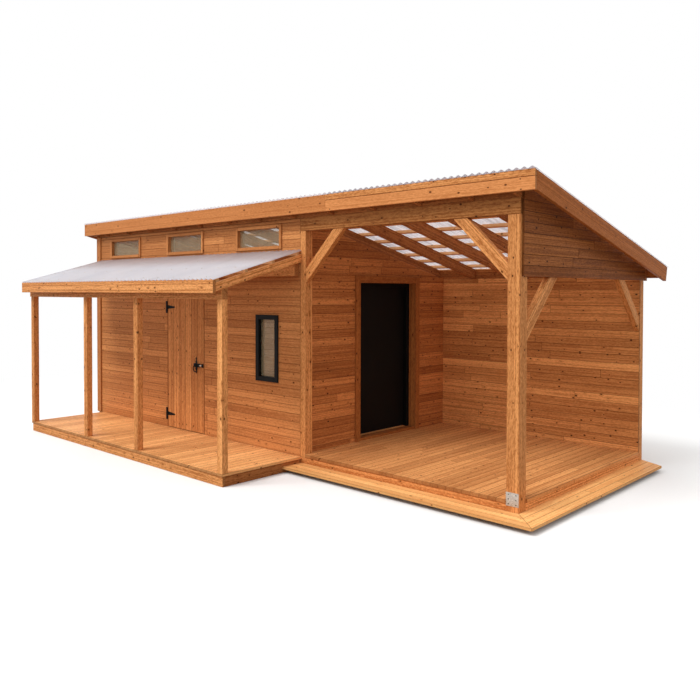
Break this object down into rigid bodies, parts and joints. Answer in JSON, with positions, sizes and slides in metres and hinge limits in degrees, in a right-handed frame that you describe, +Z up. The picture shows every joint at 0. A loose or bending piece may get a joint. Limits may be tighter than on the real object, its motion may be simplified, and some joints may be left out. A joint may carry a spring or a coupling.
{
  "type": "garden office shed",
  "caption": "Cedar garden office shed with a falling corrugated roof, a lean-to porch before a plank door and a covered patio before a black door.",
  "frame": {"origin": "middle of the overall plan, on the ground", "axes": "+X along the front from the cabin to the patio, +Y from front to back, +Z up"},
  "size_m": [8.081, 4.389, 3.1636],
  "materials": {
    "siding": "oiled cedar boards, satin",
    "decking": "oiled cedar decking, satin",
    "framing": "planed and oiled cedar timber",
    "door_boards": "oiled cedar planks, satin",
    "black_iron": "black powder coat",
    "black_paint": "satin black paint",
    "zinc": "galvanised steel",
    "clear_sheet": "clear corrugated polycarbonate, slightly milky",
    "window_glass": "clear glass"
  },
  "bodies": {
    "building": {"front_wall_left": "siding", "front_wall_right": "siding", "front_wall_top": "siding", "left_wall": "siding", "back_wall": "siding", "side_wall_front": "siding", "side_wall_rear": "siding", "side_wall_head": "siding", "gable_panel": "siding", "cabin_floor": "decking", "patio_floor": "decking", "step_front": "decking", "step_side": "decking", "porch_deck": "decking", "floor_rims": "framing", "floor_joists": "framing", "porch_rims": "framing", "porch_joists": "framing", "corner_boards": "framing", "black_door_lining": "framing", "black_door_casing": "framing", "high_window_frames": "framing", "corner_post": "framing", "front_right_post": "framing", "rear_right_post": "framing", "front_beam": "framing", "side_beam": "framing", "knee_braces": "framing", "rafters": "framing", "eave_blocks": "framing", "purlins": "framing", "front_fascia": "framing", "rake_boards": "framing", "back_fascia": "framing", "porch_posts": "framing", "porch_beam": "framing", "porch_ledger": "framing", "porch_rafters": "framing", "porch_purlins": "framing", "porch_fascia": "framing", "plank_hinge_plates": "black_iron", "black_door_frame": "black_paint", "tall_window_frame": "black_paint", "post_plate": "zinc", "black_hinge_plates": "zinc", "roof_sheet": "clear_sheet", "porch_sheet": "clear_sheet", "tall_window_glass": "window_glass", "high_window_glass": "window_glass"},
    "plank_leaf": {"plank_door": "door_boards", "plank_hinge_straps": "black_iron", "ring_latch": "black_iron"},
    "black_leaf": {"black_door": "black_paint", "black_hinge_leaves": "zinc"}
  },
  "joints": [
    {"name": "plank_door_hinge", "type": "hinge", "parent": "building", "child": "plank_leaf", "pos_m": [-1.851, -0.92912, 1.1], "axis": [0, 0, -1], "range_deg": [0, 160]},
    {"name": "black_door_hinge", "type": "hinge", "parent": "building", "child": "black_leaf", "pos_m": [0.7365, 1.15388, 1.18], "axis": [0, 0, -1], "range_deg": [0, 110]}
  ]
}
